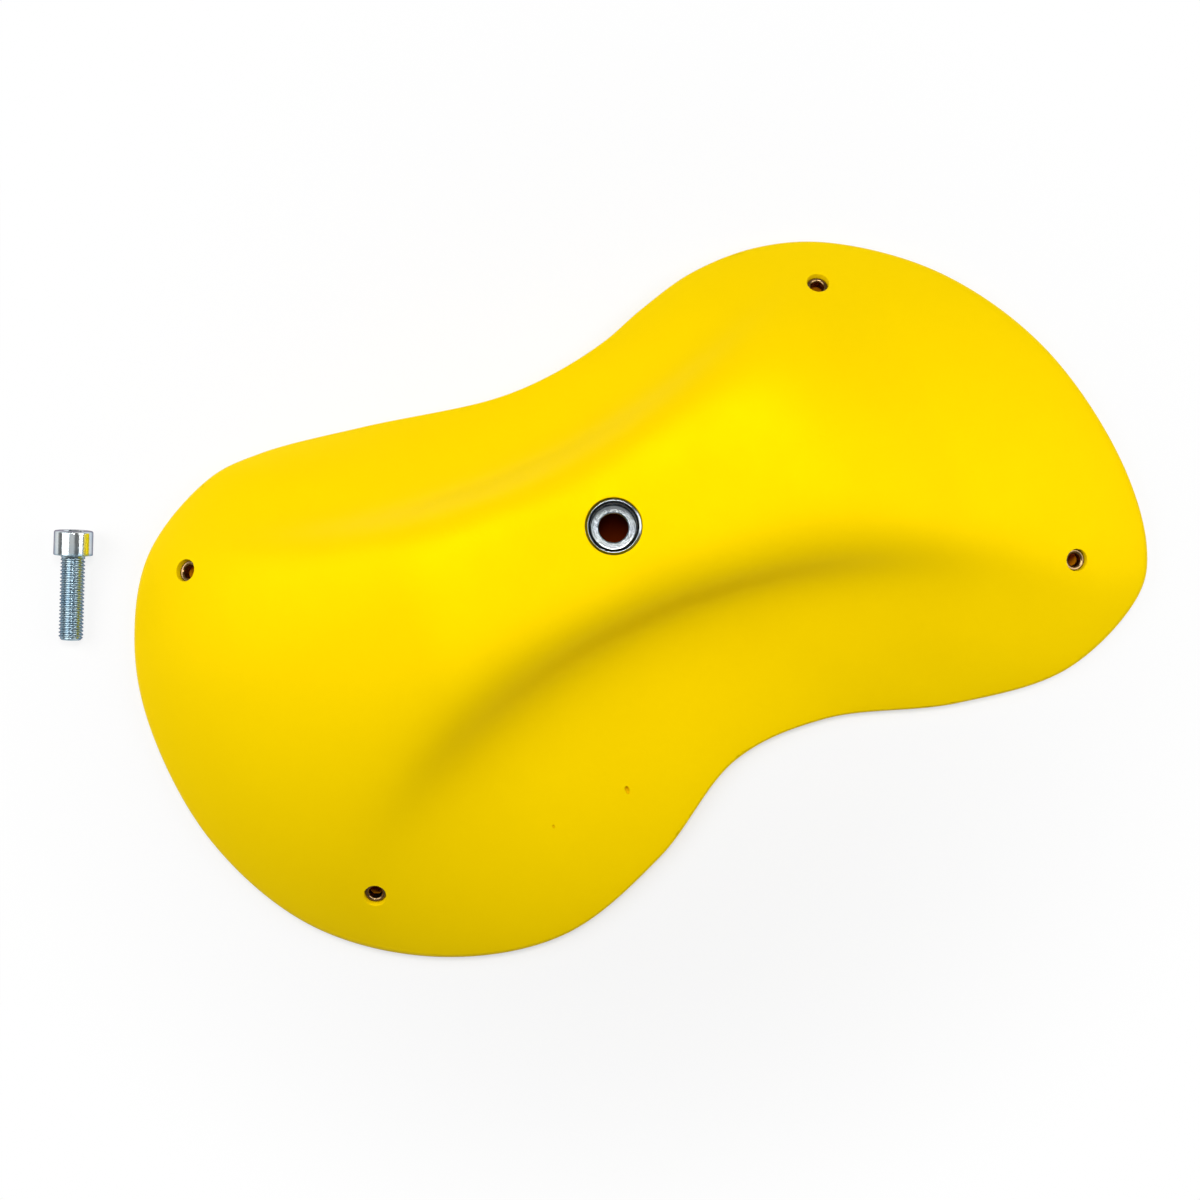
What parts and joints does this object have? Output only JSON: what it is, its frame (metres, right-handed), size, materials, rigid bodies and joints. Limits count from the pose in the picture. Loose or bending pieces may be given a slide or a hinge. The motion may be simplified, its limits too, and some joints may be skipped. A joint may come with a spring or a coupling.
{
  "type": "climbing hold",
  "caption": "Large two-lobed bolt-on climbing hold with a raised ridge between two finger scoops, a steel bolt cup, screw ferrules and its mounting bolt beside it.",
  "frame": {"origin": "on the wall plane, under the middle of the hold and its loose bolt; the bolt hole's axis is at x 4.9 mm, y 29.1 mm", "axes": "+Z out of the wall, square to the hold's flat back; +X and +Y as the hold is seen from the front, with its long axis 23 degrees above +X; the loose bolt lies on the -X side with its head towards +Y"},
  "size_m": [0.4498, 0.2948, 0.0504],
  "materials": {
    "yellow_resin": "bright yellow moulded polyurethane with a very fine matt grain",
    "zinc_plated_steel": "bright bluish zinc plate"
  },
  "bodies": {
    "hold": {"hold_body": "yellow_resin", "bolt_insert": "zinc_plated_steel", "screw_ferrule_top": "zinc_plated_steel", "screw_ferrule_left": "zinc_plated_steel", "screw_ferrule_right": "zinc_plated_steel", "screw_ferrule_bottom": "zinc_plated_steel"},
    "bolt": {"mounting_bolt": "zinc_plated_steel"}
  },
  "joints": [
    {"name": "bolt_lift", "type": "slide", "parent": "hold", "child": "bolt", "axis": [0, 0, 1], "range_m": [0, 0.12]}
  ]
}
